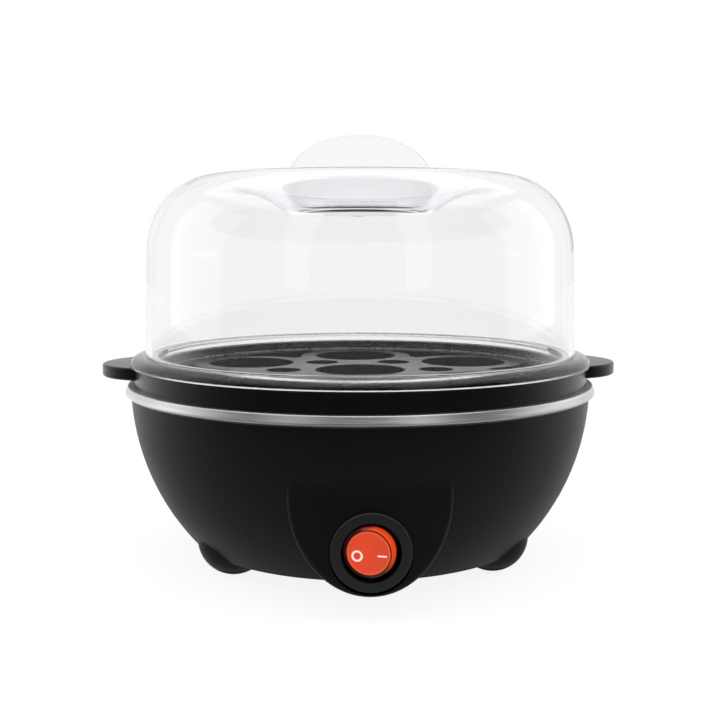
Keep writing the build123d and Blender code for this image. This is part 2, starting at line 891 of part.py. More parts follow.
def make_plate_washers():
    low = lug_underside - washer_thickness
    return [
        pipe(
            stud_radius + plug_gap,
            washer_radius,
            polar(stud_ring_radius, angle, low),
            polar(stud_ring_radius, angle, lug_underside),
        )
        for angle in stud_angles
    ]


def make_plate_nuts():
    top = lug_underside - washer_thickness
    hexagon = extrude(RegularPolygon(nut_radius, 6), nut_height)
    nut = Pos(stud_ring_radius, 0, top - nut_height) * hexagon
    low = (stud_ring_radius, 0, top - nut_height)
    nut -= rod(stud_radius + running_gap, low, (stud_ring_radius, 0, top))
    return around(nut, stud_count)


# Rocker switch


def at_switch(x, y, rise=0.0):
    return (x, y, switch_height + rise)


bezel_back_y = -(housing_front - land_depth)
bezel_front_y = bezel_back_y - bezel_thickness
barrel_back_y = bezel_back_y + barrel_depth
blade_tip_y = barrel_back_y + blade_length
lever_y = pivot_y + rocker_back_reach + leg_length + plunger_stick_out + lever_gap
lever_pivot_y = lever_y + lever_thickness
pin_end = well_radius + rocker_pin_bite


def make_switch_body():
    body = rod(bezel_radius, at_switch(0, bezel_back_y), at_switch(0, bezel_front_y))
    circles = body.edges().filter_by(GeomType.CIRCLE)
    front_edges = [e for e in circles if e.center().Y < bezel_front_y + bezel_edge]
    body = fillet(front_edges, bezel_edge)
    body += rod(barrel_radius, at_switch(0, bezel_back_y), at_switch(0, barrel_back_y))
    well_bottom_y = barrel_back_y - barrel_floor
    body -= rod(well_radius, at_switch(0, -beyond), at_switch(0, well_bottom_y))
    for side in (-1, 1):
        tip = side * (pin_end + plug_gap)
        body -= rod(rocker_pin_radius + running_gap, at_switch(0, pivot_y), at_switch(0, pivot_y, tip))
    for place in blade_places():
        slot = block(
            blade_thickness + 2 * running_gap,
            2 * barrel_floor,
            blade_width + 2 * running_gap,
            at_switch(place, well_bottom_y + barrel_floor / 2),
        )
        body -= slot
    return body


def blade_places():
    return [-blade_spacing, 0.0, blade_spacing]


def rocker_at_rest(shape):
    return Pos(0, pivot_y, switch_height) * Rot(0, 0, -rocker_tilt) * shape


def make_rocker():
    # Built about its pivot with the face towards -Y, then turned to its rest tilt.
    profile = make_face(
        Polyline(
            (0, rocker_face_reach),
            (rocker_face_radius, rocker_face_reach),
            (rocker_rim_radius, rocker_rim_reach),
            (rocker_radius, rocker_side_reach),
            (rocker_back_radius, -rocker_back_reach),
            (0, -rocker_back_reach),
            close=True,
        )
    )
    button = Rot(90, 0, 0) * revolve(Plane.XZ * profile, Axis.Z)
    leg_end = rocker_back_reach + leg_length
    button += rod(leg_outer_radius, (0, 0, 0), (0, leg_end, 0))
    button += rod(rocker_pin_radius, (0, 0, -pin_end), (0, 0, pin_end))
    button -= rod(leg_bore_radius, (0, rocker_back_reach / 2, 0), (0, leg_end, 0))
    face_y = -rocker_face_reach
    ring_mark = pipe(
        ring_mark_radius - ring_mark_line,
        ring_mark_radius,
        (-ring_mark_offset, face_y, -ring_mark_drop),
        (-ring_mark_offset, face_y + mark_depth, -ring_mark_drop),
    )
    bar_center = (bar_mark_offset, face_y, -bar_mark_drop)
    bar_mark = block(bar_mark_length, 2 * mark_depth, bar_mark_line, bar_center)
    return rocker_at_rest(button - ring_mark - bar_mark)


def make_plunger():
    tip_y = rocker_back_reach + leg_length + plunger_stick_out
    pin = rod(plunger_radius, (0, tip_y - plunger_length, 0), (0, tip_y - plunger_tip_radius, 0))
    pin += Pos(0, tip_y - plunger_tip_radius, 0) * Sphere(plunger_tip_radius)
    return rocker_at_rest(pin)


def make_plunger_spring():
    # The spring is pressed solid behind the plunger, so it is a sleeve here.
    front = rocker_back_reach / 2 + running_gap
    back = rocker_back_reach + leg_length + plunger_stick_out - plunger_length - running_gap
    return rocker_at_rest(pipe(plunger_radius - spring_wall, plunger_radius, (0, front, 0), (0, back, 0)))


def make_contact_lever():
    # It rocks about the round ridge along the middle of its back.
    plate = block(2 * lever_half_length, lever_thickness, 2 * lever_half_width, (0, -lever_thickness / 2, 0))
    ridge = rod(lever_thickness, (0, 0, -lever_half_width), (0, 0, lever_half_width))
    behind_plate = block(4 * lever_thickness, 2 * lever_thickness, 2 * lever_half_width, (0, 0, 0))
    ridge &= Pos(0, lever_thickness / 2, 0) * behind_plate
    return Pos(0, lever_pivot_y, switch_height) * Rot(0, 0, lever_tilt) * (plate + ridge)


lever_fulcrum_y = lever_y + 2 * lever_thickness + 2 * running_gap


def make_switch_terminals():
    terminals = []
    well_bottom_y = barrel_back_y - barrel_floor
    swing = lever_half_length * sin(radians(lever_tilt)) + lever_thickness + lever_play
    for place in blade_places():
        front = lever_fulcrum_y if place == 0 else lever_y + swing
        length = blade_tip_y - front
        terminals.append(
            block(blade_thickness, length, blade_width, at_switch(place, blade_tip_y - length / 2))
        )
    return terminals


def make_neon_lamp():
    lamp_y = pivot_y + rocker_back_reach + leg_length + lamp_radius
    half = lamp_length / 2
    lamp = rod(lamp_radius, at_switch(-half, lamp_y, lamp_height), at_switch(half, lamp_y, lamp_height))
    for side in (-1, 1):
        wire_x = side * (half - lamp_lead_radius)
        back = barrel_back_y - barrel_floor
        start = at_switch(wire_x, lamp_y, lamp_height)
        lamp += rod(lamp_lead_radius, start, at_switch(wire_x, back, lamp_height))
    return lamp


# Receptacles on the blades


def make_receptacles():
    straight = (
        blade_thickness + 2 * receptacle_wall,
        receptacle_length,
        blade_width + 2 * receptacle_wall,
    )
    shells = []
    blades = make_switch_terminals()
    for place, blade in zip(blade_places(), blades):
        shell = block(*straight, at_switch(place, switch_plug_y - receptacle_length / 2))
        shells.append(shell - grown_box(blade))
    flag = (blade_width + 2 * receptacle_wall, flag_length, blade_thickness + 2 * receptacle_wall)
    for side in (-1, 1):
        y = side * thermostat_flag_y
        shells.append(block(*flag, (0, y, thermostat_blade_z)) - grown_box(thermostat_blade(side)))
    for x, y, z in element_ends():
        pin_box = (2 * element_radius, 2 * element_radius, blade_width)
        shell = block(*pin_box, (x, y, pin_flag_z))
        bore = rod(pin_radius + running_gap, (x, y, z - pin_length), (x, y, z))
        shells.append(shell - bore)
    earth_box = (blade_width + 2 * receptacle_wall, blade_thickness + 2 * receptacle_wall, flag_length)
    shells.append(block(*earth_box, (earth_x, earth_y, earth_flag_z)) - grown_box(earth_blade()))
    return shells


def grown_box(shape):
    box = shape.bounding_box()
    size = box.size
    return Pos(*box.center()) * Box(
        size.X + 2 * running_gap, size.Y + 2 * running_gap, size.Z + 2 * running_gap
    )


def thermostat_blade(side):
    middle = side * (thermostat_radius + blade_length / 2 - blade_thickness)
    return block(blade_width, blade_length, blade_thickness, (0, middle, thermostat_blade_z))


switch_plug_y = blade_tip_y + receptacle_length / 2
thermostat_flag_y = thermostat_radius + blade_length - blade_thickness - flag_length / 2 + receptacle_wall
pin_flag_z = element_end_z - bead_height - blade_width / 2 - plug_gap
earth_flag_z = earth_tip_z + flag_length / 2 - receptacle_wall


# Terminal block and cord gland

block_top = cover_top + block_height
block_lead_z = cover_top + lead_height_in_block


def way_holes():
    # Live and earth take one lead each; neutral takes two side by side.
    return [-way_spacing, 0.0, way_spacing - twin_spacing / 2, way_spacing + twin_spacing / 2]


def make_terminal_block():
    middle = (0, block_front + block_depth / 2, cover_top + block_height / 2)
    body = block(block_length, block_depth, block_height, middle)
    body = fillet(body.edges().filter_by(Axis.Z), block_round)
    back = block_front + block_depth
    for x in way_holes():
        way_end = (x, block_front + way_bite, block_lead_z)
        body -= rod(lead_radius + plug_gap, (x, 0, block_lead_z), way_end)
    for x in clamp_places():
        body -= rod(wire_entry_radius, (x, back - way_bite, block_lead_z), (x, beyond, block_lead_z))
        y = block_front + block_depth / 2
        screw_end = (x, y, block_top - clamp_screw_length)
        body -= rod(clamp_screw_radius + running_gap, screw_end, (x, y, block_top))
    for x in block_screw_places():
        y = block_front + block_depth / 2
        body -= rod(block_screw_radius + plug_gap, (x, y, cover_top), (x, y, block_top))
    return body


def clamp_places():
    return [-way_spacing, 0.0, way_spacing]


def block_screw_places():
    return [-block_length / 2 + block_screw_inset, block_length / 2 - block_screw_inset]


def make_clamp_screws():
    y = block_front + block_depth / 2
    head = clamp_screw_head
    length = clamp_screw_length - head - plug_gap
    radius = clamp_screw_radius
    return [screw(x, y, block_top, -1, radius, head, radius, length) for x in clamp_places()]


def make_block_screws():
    y = block_front + block_depth / 2
    head = screw_head_height
    radius = block_screw_radius
    length = block_height + block_screw_bite
    return [
        screw(x, y, block_top + head, -1, clamp_screw_radius, head, radius, length)
        for x in block_screw_places()
    ]


def make_cord_gland():
    face = gland_face + gland_flange_thickness
    inner_end = gland_face - gland_neck_length
    gland = rod(gland_flange_radius, (0, gland_face, gland_height), (0, face, gland_height))
    circles = gland.edges().filter_by(GeomType.CIRCLE)
    outer_edges = [e for e in circles if e.center().Y > gland_face + gland_round]
    gland = fillet(outer_edges, gland_round)
    gland += rod(gland_neck_radius, (0, inner_end, gland_height), (0, gland_face, gland_height))
    return gland - rod(gland_bore_radius, (0, inner_end, gland_height), (0, face, gland_height))


# Leads


def lead(name, *points):
    radii = []
    for before, corner, after in zip(points, points[1:], points[2:]):
        first = Vector(*corner) - Vector(*before)
        second = Vector(*after) - Vector(*corner)
        half_turn = radians(first.get_angle(second) / 2)
        radii.append(lead_bend_share * min(first.length, second.length) / tan(half_turn))
    path = FilletPolyline(*points, radius=radii)
    start = Plane(origin=path @ 0, z_dir=path % 0)
    tube = sweep(start * Circle(lead_radius), path)
    wanted = pi * lead_radius**2 * path.length
    print(name, "radii", [round(r, 1) for r in radii], "volume ratio", round(tube.volume / wanted, 4))
    return tube


switch_lead_y = switch_plug_y
block_end_y = block_front + way_bite
flag_side = blade_width / 2 + receptacle_wall
pin_end_low, pin_end_high = element_ends()


def make_live_lead():
    return lead(
        "live_lead",
        (-way_spacing, block_end_y, block_lead_z),
        (-way_spacing, 28, block_lead_z),
        (-16, 9, cover_top + 4),
        (-14, -12, cover_top + 5),
        (-3, -26, cover_top + 10),
        (0, -37, switch_height),
        (0, switch_lead_y, switch_height),
    )


def make_lamp_lead():
    return lead(
        "lamp_lead",
        (way_spacing - twin_spacing / 2, block_end_y, block_lead_z),
        (way_spacing - twin_spacing / 2, 28, block_lead_z),
        (15, 9, cover_top + 4),
        (15, -12, cover_top + 5),
        (8, -26, cover_top + 10),
        (blade_spacing, -37, switch_height),
        (blade_spacing, switch_lead_y, switch_height),
    )


def make_switched_lead():
    return lead(
        "switched_lead",
        (-blade_spacing, switch_lead_y, switch_height),
        (-blade_spacing, -36, switch_height),
        (-15, -28, switch_height + 4),
        (fuse_x, -20, fuse_z),
        fuse_point(-sleeve_length / 2),
    )


def make_fuse_lead():
    return lead(
        "fuse_lead",
        fuse_point(sleeve_length / 2),
        (fuse_x, 16, fuse_z),
        (-17, 19, fuse_z - 3),
        (-10, thermostat_flag_y, thermostat_blade_z),
        (-flag_side, thermostat_flag_y, thermostat_blade_z),
    )


def make_heater_lead():
    x, y, _ = pin_end_low
    return lead(
        "heater_lead",
        (flag_side, -thermostat_flag_y, thermostat_blade_z),
        (10, -thermostat_flag_y, thermostat_blade_z),
        (18, -13.5, pin_flag_z + 3.4),
        (x - element_radius - 4, y, pin_flag_z),
        (x - element_radius, y, pin_flag_z),
    )


def make_neutral_lead():
    x, y, _ = pin_end_high
    way_x = way_spacing + twin_spacing / 2
    return lead(
        "neutral_lead",
        (x - element_radius, y, pin_flag_z),
        (x - element_radius - 8, y, pin_flag_z),
        (way_x + 1, 24, block_lead_z + 1),
        (way_x, 33, block_lead_z),
        (way_x, block_end_y, block_lead_z),
    )


def make_earth_lead():
    return lead(
        "earth_lead",
        (earth_x + flag_side, earth_y, earth_flag_z),
        (earth_x + flag_side + 5, earth_y, earth_flag_z),
        (0, 30, block_lead_z + 2),
        (0, 37, block_lead_z),
        (0, block_end_y, block_lead_z),
    )


nodes = {
    "lid": make_lid(),
    "egg_tray": make_egg_tray(),
    "heating_plate": make_heating_plate(),
    "rim_seal": make_rim_seal(),
    "base_bowl": make_base_bowl(),
    "bottom_cover": make_bottom_cover(),
    "cover_screws": make_cover_screws(),
    "heating_element": make_heating_element(),
    "element_pins": make_element_pins(),
    "element_beads": make_element_beads(),
    "heat_spreader": make_heat_spreader(),
    "thermostat": make_thermostat(),
    "thermostat_bracket": make_thermostat_bracket(),
    "bracket_screws": make_bracket_screws(),
    "thermal_fuse": make_thermal_fuse(),
    "fuse_sleeve": make_fuse_sleeve(),
    "plate_washers": make_plate_washers(),
    "plate_nuts": make_plate_nuts(),
    "switch_body": make_switch_body(),
    "rocker": make_rocker(),
    "plunger": make_plunger(),
    "plunger_spring": make_plunger_spring(),
    "contact_lever": make_contact_lever(),
    "neon_lamp": make_neon_lamp(),
    "switch_terminals": make_switch_terminals(),
    "receptacles": make_receptacles(),
    "terminal_block": make_terminal_block(),
    "clamp_screws": make_clamp_screws(),
    "block_screws": make_block_screws(),
    "cord_gland": make_cord_gland(),
    "live_lead": make_live_lead(),
    "lamp_lead": make_lamp_lead(),
    "switched_lead": make_switched_lead(),
    "fuse_lead": make_fuse_lead(),
    "heater_lead": make_heater_lead(),
    "neutral_lead": make_neutral_lead(),
    "earth_lead": make_earth_lead(),
}
for number, (x, y) in enumerate(foot_places(), start=1):
    nodes[f"foot_pad_{number}"] = make_foot_pad(x, y)

for name, shape in nodes.items():
    solids = Compound(shape) if isinstance(shape, list) else shape
    export_step(solids, f"parts/{name}.step")
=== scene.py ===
import json
from math import cos, pi, radians, sin

import bmesh
import bpy
from mathutils import Matrix, Vector

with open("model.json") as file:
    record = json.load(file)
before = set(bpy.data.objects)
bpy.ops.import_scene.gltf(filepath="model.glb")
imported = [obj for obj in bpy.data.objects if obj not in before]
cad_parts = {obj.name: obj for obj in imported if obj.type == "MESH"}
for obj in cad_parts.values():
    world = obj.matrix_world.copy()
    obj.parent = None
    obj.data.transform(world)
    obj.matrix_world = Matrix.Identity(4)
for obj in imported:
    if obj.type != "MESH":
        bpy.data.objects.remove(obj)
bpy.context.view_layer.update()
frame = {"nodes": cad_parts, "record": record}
nodes = frame["nodes"]
print("frame loaded:", len(nodes), "nodes")

scene = bpy.context.scene


# Shader helpers

def newMaterial(name):
    material = bpy.data.materials.new(name)
    material.use_nodes = True
    tree = material.node_tree
    shader = tree.nodes["Principled BSDF"]
    return material, tree, shader


def setSockets(node, values):
    for socketName, value in values.items():
        node.inputs[socketName].default_value = value


def addNode(tree, kind, **settings):
    node = tree.nodes.new(kind)
    for key, value in settings.items():
        setattr(node, key, value)
    return node


def mathNode(tree, operation, first, second=None, clamp=False):
    node = addNode(tree, "ShaderNodeMath", operation=operation, use_clamp=clamp)
    for index, value in enumerate((first, second)):
        if value is None:
            continue
        if isinstance(value, (int, float)):
            node.inputs[index].default_value = value
        else:
            tree.links.new(value, node.inputs[index])
    return node.outputs[0]


def noiseNode(tree, vector, scale, detail=3.0, roughness=0.5):
    node = addNode(tree, "ShaderNodeTexNoise")
    setSockets(node, {"Scale": scale, "Detail": detail, "Roughness": roughness})
    tree.links.new(vector, node.inputs["Vector"])
    return node.outputs[0]


def rampNode(tree, value, low, high, outLow, outHigh):
    node = addNode(tree, "ShaderNodeMapRange")
    setSockets(node, {"From Min": low, "From Max": high, "To Min": outLow, "To Max": outHigh})
    tree.links.new(value, node.inputs["Value"])
    return node.outputs["Result"]


def splitVector(tree, vector):
    node = addNode(tree, "ShaderNodeSeparateXYZ")
    tree.links.new(vector, node.inputs[0])
    return node.outputs


def joinVector(tree, first, second):
    node = addNode(tree, "ShaderNodeCombineXYZ")
    tree.links.new(first, node.inputs[0])
    tree.links.new(second, node.inputs[1])
    return node.outputs[0]


def lengthNode(tree, first, second):
    # Length of the flat vector with these two parts.
    squares = mathNode(tree, "ADD", mathNode(tree, "MULTIPLY", first, first),
                       mathNode(tree, "MULTIPLY", second, second))
    return mathNode(tree, "SQRT", squares)


def mixColors(tree, factor, first, second):
    node = addNode(tree, "ShaderNodeMix", data_type="RGBA")
    tree.links.new(factor, node.inputs["Factor"])
    for socket, value in ((node.inputs[6], first), (node.inputs[7], second)):
        if isinstance(value, tuple):
            socket.default_value = (*value, 1.0)
        else:
            tree.links.new(value, socket)
    return node.outputs[2]


def bumpNode(tree, height, strength, distance):
    node = addNode(tree, "ShaderNodeBump")
    setSockets(node, {"Strength": strength, "Distance": distance})
    tree.links.new(height, node.inputs["Height"])
    return node.outputs["Normal"]


def newGroup(name, inputs, outputs):
    group = bpy.data.node_groups.new(name, "ShaderNodeTree")
    for label, kind, default in inputs:
        socket = group.interface.new_socket(label, in_out="INPUT", socket_type=kind)
        socket.default_value = default
    for label, kind in outputs:
        group.interface.new_socket(label, in_out="OUTPUT", socket_type=kind)
    return group, group.nodes.new("NodeGroupInput"), group.nodes.new("NodeGroupOutput")


def placeGroup(tree, group, values):
    node = addNode(tree, "ShaderNodeGroup", node_tree=group)
    for label, value in values.items():
        if isinstance(value, (int, float)):
            node.inputs[label].default_value = value
        else:
            tree.links.new(value, node.inputs[label])
    return node


# Shared effects

grainLook = {"detail": 2.0, "roughness": 0.6, "cloudScale": 28.0, "cloudDetail": 4.0}


def makeMouldGrain():
    # Fine spark-eroded grain of a moulded surface, with broad faint unevenness.
    inputs = [("Vector", "NodeSocketVector", (0, 0, 0)), ("Grain", "NodeSocketFloat", 1500.0)]
    outputs = [("Height", "NodeSocketFloat"), ("Cloud", "NodeSocketFloat")]
    group, start, end = newGroup("mouldGrain", inputs, outputs)
    fine = addNode(group, "ShaderNodeTexNoise")
    setSockets(fine, {"Detail": grainLook["detail"], "Roughness": grainLook["roughness"]})
    group.links.new(start.outputs["Vector"], fine.inputs["Vector"])
    group.links.new(start.outputs["Grain"], fine.inputs["Scale"])
    group.links.new(fine.outputs[0], end.inputs["Height"])
    cloud = noiseNode(group, start.outputs["Vector"], grainLook["cloudScale"], grainLook["cloudDetail"])
    group.links.new(cloud, end.inputs["Cloud"])
    return group


streakLook = {"density": 500.0, "stretch": 1.6}


def makeTurnedLines():
    # Lines that run round the Z axis: noise over height and radius, nearly constant over the angle.
    inputs = [
        ("Vector", "NodeSocketVector", (0, 0, 0)),
        ("Density", "NodeSocketFloat", 3000.0),
        ("Stretch", "NodeSocketFloat", 5.0),
    ]
    outputs = [("Lines", "NodeSocketFloat"), ("Streaks", "NodeSocketFloat")]
    group, start, end = newGroup("turnedLines", inputs, outputs)
    x, y, z = splitVector(group, start.outputs["Vector"])
    angle = mathNode(group, "ARCTAN2", y, x)
    across = mathNode(group, "ADD", lengthNode(group, x, y), z)
    fine = joinVector(group, mathNode(group, "MULTIPLY", angle, start.outputs["Stretch"]),
                      mathNode(group, "MULTIPLY", across, start.outputs["Density"]))
    group.links.new(noiseNode(group, fine, 1.0, 3.0), end.inputs["Lines"])
    broad = joinVector(group, mathNode(group, "MULTIPLY", angle, streakLook["stretch"]),
                       mathNode(group, "MULTIPLY", across, streakLook["density"]))
    group.links.new(noiseNode(group, broad, 1.0, 2.0), end.inputs["Streaks"])
    return group


dustLook = {
    "speckScale": 260.0,
    "speckSpan": (0.03, 0.09),
    "patchScale": 90.0,
    "patchSpan": (0.58, 0.66),
    "filmScale": 16.0,
    "filmSpan": (0.45, 0.8),
    "filmMost": 0.35,
}


def makeDust():
    # Sparse light specks and a soft film.
    inputs = [("Vector", "NodeSocketVector", (0, 0, 0)), ("Amount", "NodeSocketFloat", 0.1)]
    group, start, end = newGroup("dustFilm", inputs, [("Mask", "NodeSocketFloat")])
    specks = addNode(group, "ShaderNodeTexVoronoi", feature="F1")
    setSockets(specks, {"Scale": dustLook["speckScale"], "Randomness": 1.0})
    place = start.outputs["Vector"]
    group.links.new(place, specks.inputs["Vector"])
    near = rampNode(group, specks.outputs["Distance"], *dustLook["speckSpan"], 1.0, 0.0)
    patches = noiseNode(group, place, dustLook["patchScale"], 2.0)
    chosen = rampNode(group, patches, *dustLook["patchSpan"], 0.0, 1.0)
    cloud = noiseNode(group, place, dustLook["filmScale"], 5.0)
    film = rampNode(group, cloud, *dustLook["filmSpan"], 0.0, dustLook["filmMost"])
    both = mathNode(group, "ADD", mathNode(group, "MULTIPLY", near, chosen), film, clamp=True)
    group.links.new(mathNode(group, "MULTIPLY", both, start.outputs["Amount"]), end.inputs["Mask"])
    return group


mouldGrain = makeMouldGrain()
turnedLines = makeTurnedLines()
dustFilm = makeDust()


def objectVector(tree):
    return addNode(tree, "ShaderNodeTexCoord").outputs["Object"]


# Materials

bumpReach = 0.0001  # how deep a bump of full strength looks, in metres
noiseSpan = (0.3, 0.7)  # where most of a noise's values lie


def mouldedPlastic(name, finish):
    material, tree, shader = newMaterial(name)
    place = objectVector(tree)
    grain = placeGroup(tree, mouldGrain, {"Vector": place, "Grain": finish["grain"]})
    dust = placeGroup(tree, dustFilm, {"Vector": place, "Amount": finish["dust"]})
    cloudy = rampNode(tree, grain.outputs["Cloud"], *noiseSpan, -1.0, 1.0)
    rough = mathNode(tree, "MULTIPLY_ADD", cloudy, finish["roughSpread"])
    rough.node.inputs[2].default_value = finish["rough"]
    tree.links.new(rough, shader.inputs["Roughness"])
    plain = mixColors(tree, grain.outputs["Cloud"], finish["color"], finish["colorWorn"])
    color = mixColors(tree, dust.outputs["Mask"], plain, finish["dustColor"])
    tree.links.new(color, shader.inputs["Base Color"])
    normal = bumpNode(tree, grain.outputs["Height"], finish["bump"], bumpReach)
    tree.links.new(normal, shader.inputs["Normal"])
    setSockets(shader, {"Specular IOR Level": finish["specular"]})
    return material


blackShell = {
    "color": (0.0034, 0.0034, 0.0036),
    "colorWorn": (0.0046, 0.0046, 0.0048),
    "dustColor": (0.06, 0.06, 0.06),
    "dust": 0.05,
    "rough": 0.42,
    "roughSpread": 0.04,
    "grain": 2600.0,
    "bump": 0.25,
    "specular": 0.2,
}
blackTrim = {**blackShell, "color": (0.009, 0.009, 0.0095), "rough": 0.32, "specular": 0.5, "grain": 3400.0}
trayPlastic = {
    **blackShell,
    "color": (0.0028, 0.0028, 0.0029),
    "colorWorn": (0.0036, 0.0036, 0.0037),
    "dust": 0.02,
    "rough": 0.28,
    "roughSpread": 0.03,
    "specular": 0.2,
    "bump": 0.2,
    "wallRadius": (0.0704, 0.0724),
    "wallHeight": (0.0631, 0.0656),
    "wallRough": 0.35,
    "bandSoft": 0.00005,
    "speckleScale": 900.0,
    "speckleSpan": (0.50, 0.66),
    "speckleColor": (0.030, 0.030, 0.030),
    "footRadius": (0.0702, 0.0712),
    "footHeight": (0.0620, 0.0631),
    "footSpan": (0.35, 0.60),
    "footLeast": 0.25,
    "footHighlightColor": (0.42, 0.42, 0.42),
}
rubber = {**blackShell, "color": (0.013, 0.013, 0.013), "rough": 0.7, "grain": 1800.0, "bump": 0.5}
phenolic = {**blackShell, "color": (0.05, 0.025, 0.012), "rough": 0.5}
nylon = {**blackShell, "color": (0.72, 0.70, 0.62), "colorWorn": (0.66, 0.63, 0.55), "rough": 0.4}
ceramic = {**nylon, "color": (0.80, 0.78, 0.72), "rough": 0.75}
silicone = {**nylon, "color": (0.32, 0.32, 0.31), "colorWorn": (0.28, 0.28, 0.27), "rough": 0.6}
glassFibre = {**nylon, "color": (0.78, 0.76, 0.66), "grain": 900.0, "bump": 0.9, "rough": 0.8}
leadBrown = {**nylon, "color": (0.16, 0.06, 0.02), "colorWorn": (0.13, 0.05, 0.018)}
leadBlue = {**nylon, "color": (0.02, 0.09, 0.42), "colorWorn": (0.018, 0.075, 0.36)}
leadGreen = {**nylon, "color": (0.05, 0.30, 0.03), "colorWorn": (0.42, 0.42, 0.03)}


def trayMoulding(name, finish):
    # The tray's own plastic, with a coarse texture round the inside of its wall and a painted highlight
    # line at that wall's foot, standing in for light caught where the wall meets the plate.
    material = mouldedPlastic(name, finish)
    tree = material.node_tree
    shader = tree.nodes["Principled BSDF"]
    place = objectVector(tree)
    x, y, z = splitVector(tree, place)
    radius = lengthNode(tree, x, y)
    soft = finish["bandSoft"]

    def band(value, low, high):
        # One between the two limits, nought outside them.
        rising = rampNode(tree, value, low - soft, low + soft, 0.0, 1.0)
        falling = rampNode(tree, value, high - soft, high + soft, 1.0, 0.0)
        return mathNode(tree, "MULTIPLY", rising, falling)

    wall = mathNode(tree, "MULTIPLY", band(radius, *finish["wallRadius"]), band(z, *finish["wallHeight"]))
    coarse = noiseNode(tree, place, finish["speckleScale"], 2.0)
    speckle = rampNode(tree, coarse, *finish["speckleSpan"], 0.0, 1.0)
    # Painted highlight: a thin light line at the wall's foot, broken up in patches.
    foot = mathNode(tree, "MULTIPLY", band(radius, *finish["footRadius"]), band(z, *finish["footHeight"]))
    patchy = noiseNode(tree, place, finish["speckleScale"], 1.0)
    highlightBreakup = rampNode(tree, patchy, *finish["footSpan"], finish["footLeast"], 1.0)
    plain = shader.inputs["Base Color"].links[0].from_socket
    color = mixColors(tree, mathNode(tree, "MULTIPLY", wall, speckle), plain, finish["speckleColor"])
    color = mixColors(tree, mathNode(tree, "MULTIPLY", foot, highlightBreakup), color, finish["footHighlightColor"])
    tree.links.new(color, shader.inputs["Base Color"])
    rough = shader.inputs["Roughness"].links[0].from_socket
    added = mathNode(tree, "MULTIPLY", mathNode(tree, "MAXIMUM", wall, foot), finish["wallRough"])
    tree.links.new(mathNode(tree, "ADD", rough, added, clamp=True), shader.inputs["Roughness"])
    return material


def turnedMetal(name, finish):
    material, tree, shader = newMaterial(name)
    place = objectVector(tree)
    lines = placeGroup(tree, turnedLines, {"Vector": place, "Density": finish["density"]})
    streaks = rampNode(tree, lines.outputs["Streaks"], *noiseSpan, 0.0, 1.0)
    color = mixColors(tree, streaks, finish["color"], finish["colorDark"])
    tree.links.new(color, shader.inputs["Base Color"])
    smoothest = finish["rough"] - finish["roughSpread"]
    roughest = finish["rough"] + finish["roughSpread"]
    rough = rampNode(tree, lines.outputs["Lines"], *finish["lineSpan"], smoothest, roughest)
    tree.links.new(rough, shader.inputs["Roughness"])
    normal = bumpNode(tree, lines.outputs["Lines"], finish["bump"], bumpReach)
    tree.links.new(normal, shader.inputs["Normal"])
    setSockets(shader, {"Metallic": 1.0})
    return material


def dishMetal(name, finish):
    # The dish's own steel, with painted shade darkening it low down, below the tray.
    material = turnedMetal(name, finish)
    tree = material.node_tree
    shader = tree.nodes["Principled BSDF"]
    place = objectVector(tree)
    # Painted shade: below the tray the steel darkens in soft patches.
    low = rampNode(tree, splitVector(tree, place)[2], *finish["underTrayShadeHeight"], 1.0, 0.0)
    patchy = noiseNode(tree, place, finish["underTrayShadeScale"], 4.0)
    cloud = rampNode(tree, patchy, *noiseSpan, finish["underTrayShadeLeast"], 1.0)
    plain = shader.inputs["Base Color"].links[0].from_socket
    color = mixColors(tree, mathNode(tree, "MULTIPLY", low, cloud), plain, finish["underTrayShadeColor"])
    tree.links.new(color, shader.inputs["Base Color"])
    return material


dishSteel = {
    "color": (0.74, 0.74, 0.73),
    "colorDark": (0.42, 0.42, 0.41),
    "rough": 0.34,
    "roughSpread": 0.06,
    "density": 5200.0,
    "lineSpan": (0.2, 0.8),
    "bump": 0.6,
    "underTrayShadeHeight": (0.0490, 0.0560),
    "underTrayShadeScale": 60.0,
    "underTrayShadeLeast": 0.75,
    "underTrayShadeColor": (0.16, 0.15, 0.14),
}
plainSteel = {**dishSteel, "rough": 0.35, "bump": 0.1}
heaterSteel = {**dishSteel, "color": (0.16, 0.14, 0.12), "colorDark": (0.10, 0.085, 0.08), "rough": 0.55}
castAluminium = {**dishSteel, "color": (0.70, 0.70, 0.71), "colorDark": (0.60, 0.60, 0.61), "rough": 0.5}
brassMetal = {**dishSteel, "color": (0.70, 0.50, 0.18), "colorDark": (0.58, 0.40, 0.13), "rough": 0.3}


def clearPlastic(name, finish):
    material, tree, shader = newMaterial(name)
    place = objectVector(tree)
    film = placeGroup(tree, dustFilm, {"Vector": place, "Amount": finish["haze"]})
    rough = mathNode(tree, "ADD", film.outputs["Mask"], finish["rough"])
    tree.links.new(rough, shader.inputs["Roughness"])
    setSockets(shader, {
        "Base Color": (*finish["color"], 1.0),
        "Transmission Weight": 1.0,
        "IOR": finish["ior"],
    })
    return material


def lidPlastic(name, finish):
    # The lid's own clear plastic, with a flange that is scuffed round from being turned on the tray.
    material = clearPlastic(name, finish)
    tree = material.node_tree
    shader = tree.nodes["Principled BSDF"]
    place = objectVector(tree)
    low = rampNode(tree, splitVector(tree, place)[2], *finish["scuffHeight"], 1.0, 0.0)
    lines = placeGroup(tree, turnedLines, {"Vector": place, "Density": finish["scuffDensity"]})
    scuff = rampNode(tree, lines.outputs["Lines"], *noiseSpan, finish["scuffLeast"], 1.0)
    plain = shader.inputs["Roughness"].links[0].from_socket
    added = mathNode(tree, "MULTIPLY", mathNode(tree, "MULTIPLY", low, scuff), finish["scuffRough"])
    tree.links.new(mathNode(tree, "ADD", plain, added, clamp=True), shader.inputs["Roughness"])
    return material


